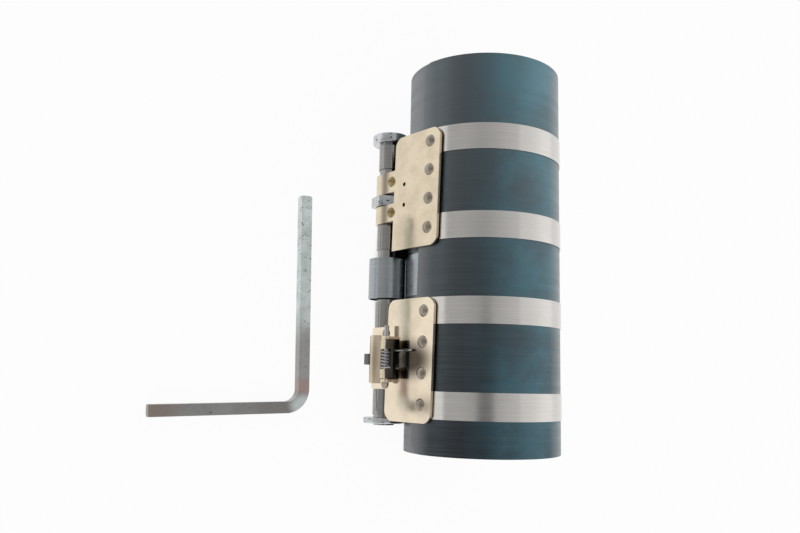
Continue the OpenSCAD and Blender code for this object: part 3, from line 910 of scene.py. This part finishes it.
@dataclass
class Studio:
    """The table, the light and the camera."""

    floor_z: float
    floor_gap: float = 0.02 * MM
    floor_half: float = 4.0
    floor_colour: Colour = (0.9, 0.9, 0.9)
    floor_glow: float = 0.95
    # Painted shadow: under the tool the floor's glow is turned off, so the floor there is dark.
    shadow_under_tool: StainOrLight = StainOrLight(
        middle=(-0.016, 0.068, 0.0), reach=(0.018, 0.062, 1.0),
        colour=(0.0, 0.0, 0.0), share=1.0, full=0.7,
    )
    left_wall: float = 0.55
    left_span: Span = (-0.9, 0.5)
    ceiling: float = 0.72
    ceiling_span: Span = (0.35, 0.95)
    behind_camera: float = 0.45
    behind_span: Span = (0.955, 0.995)
    lamps: tuple[SoftLamp, ...] = (
        SoftLamp("key_light", (0.50, 0.10, 0.42)),
        SoftLamp("fill_light", (-0.10, -0.50, 0.55)),
    )
    camera_place: Place = (-0.179329, 0.026478, 0.249001)
    camera_right: Place = (0.868077, 0.022956, 0.495899)
    camera_ahead: Place = (0.487648, 0.147637, -0.860467)
    sensor: float = 36.0
    lens: float = 34.48
    clip_start: float = 0.01

    def build(self) -> None:
        """Set up everything round the tool."""
        self.table()
        self.sky()
        for lamp in self.lamps:
            lamp.hang()
        self.camera()
        bpy.context.scene.view_settings.view_transform = "Standard"

    def table(self) -> None:
        """Lay the table under the tool."""
        shape = bmesh.new()
        bmesh.ops.create_grid(shape, x_segments=1, y_segments=1, size=self.floor_half)
        bmesh.ops.translate(shape, verts=shape.verts, vec=(0.0, 0.0, self.floor_z - self.floor_gap))
        mesh = bpy.data.meshes.new("table")
        shape.to_mesh(mesh)
        shape.free()
        mesh.materials.append(self.table_white())
        floor = bpy.data.objects.new("table", mesh)
        bpy.context.scene.collection.objects.link(floor)
        floor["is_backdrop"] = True

    def table_white(self) -> bpy.types.Material:
        """Make a white with a painted shadow under the tool, which is clear from below.

        Returns:
            The table's material.
        """
        material = bpy.data.materials.new("white_table")
        material.use_nodes = True
        bench = NodeBench(material.node_tree)
        nodes = bench.tree.nodes
        nodes.clear()
        matte = nodes.new("ShaderNodeBsdfDiffuse")
        matte.inputs["Color"].default_value = (*self.floor_colour, 1.0)
        glow = nodes.new("ShaderNodeEmission")
        glow.inputs["Strength"].default_value = 1.0
        # Painted shadow: the glow is black under the tool.
        bench.put(bench.with_stain_or_light(WHITE, self.shadow_under_tool), glow.inputs["Color"])
        path = nodes.new("ShaderNodeLightPath")
        seen = bench.number("MAXIMUM", path.outputs["Is Camera Ray"], path.outputs["Is Glossy Ray"])
        through = bench.number("MAXIMUM", seen, path.outputs["Is Transmission Ray"])
        share = bench.number("MULTIPLY", through, self.floor_glow)
        above = bench.mixed(share, matte.outputs["BSDF"], glow.outputs["Emission"])
        below = nodes.new("ShaderNodeBsdfTransparent").outputs["BSDF"]
        side = nodes.new("ShaderNodeNewGeometry").outputs["Backfacing"]
        leave = nodes.new("ShaderNodeOutputMaterial")
        bench.put(bench.mixed(side, above, below), leave.inputs["Surface"])
        return material

    def sky(self) -> None:
        """Light from white walls, dimmer on the left, overhead and where the camera stands."""
        world = bpy.data.worlds.new("studio_walls")
        bpy.context.scene.world = world
        world.use_nodes = True
        bench = NodeBench(world.node_tree)
        nodes = bench.tree.nodes
        nodes.clear()
        way = nodes.new("ShaderNodeTexCoord").outputs["Generated"]
        parts = nodes.new("ShaderNodeSeparateXYZ")
        bench.put(way, parts.inputs["Vector"])
        back = tuple(-part for part in self.camera_ahead)
        facing = bench.vector("DOT_PRODUCT", way, back).outputs["Value"]
        level = bench.mapped(parts.outputs["X"], self.left_span, (self.left_wall, 1.0), soft=True)
        for value, span, dim in (
            (parts.outputs["Z"], self.ceiling_span, self.ceiling),
            (facing, self.behind_span, self.behind_camera),
        ):
            level = bench.number("MULTIPLY", level, bench.mapped(value, span, (1.0, dim), soft=True))
        path = nodes.new("ShaderNodeLightPath")
        seen = bench.number("MAXIMUM", level, path.outputs["Is Camera Ray"])
        walls = nodes.new("ShaderNodeBackground")
        walls.inputs["Color"].default_value = (*WHITE, 1.0)
        bench.put(seen, walls.inputs["Strength"])
        leave = nodes.new("ShaderNodeOutputWorld")
        bench.put(walls.outputs["Background"], leave.inputs["Surface"])

    def camera(self) -> None:
        """Stand the camera where the picture was taken from."""
        ahead = Vector(self.camera_ahead).normalized()
        right = Vector(self.camera_right)
        right = (right - ahead * right.dot(ahead)).normalized()
        upward = right.cross(ahead)
        data = bpy.data.cameras.new("camera")
        data.sensor_fit = "HORIZONTAL"
        data.sensor_width = self.sensor
        data.lens = self.lens
        data.clip_start = self.clip_start
        camera = bpy.data.objects.new("camera", data)
        turn = Matrix((right, upward, -ahead)).transposed().to_4x4()
        camera.matrix_world = Matrix.Translation(self.camera_place) @ turn
        bpy.context.scene.collection.objects.link(camera)
        bpy.context.scene.camera = camera


def main() -> None:
    """Load the frame, dress each sub-assembly and set up the studio."""
    logging.basicConfig(level=logging.INFO, format="%(name)s %(message)s")
    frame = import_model()
    solid_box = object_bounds()
    nodes = frame["nodes"]
    for assembly in (
        RolledSleeve(nodes),
        Brackets(nodes),
        WindingSpindle(nodes),
        PawlGear(nodes),
        SquareKey(nodes),
    ):
        assembly.dress()
    Studio(floor_z=solid_box[0].z).build()


if __name__ == "__main__":
    main()
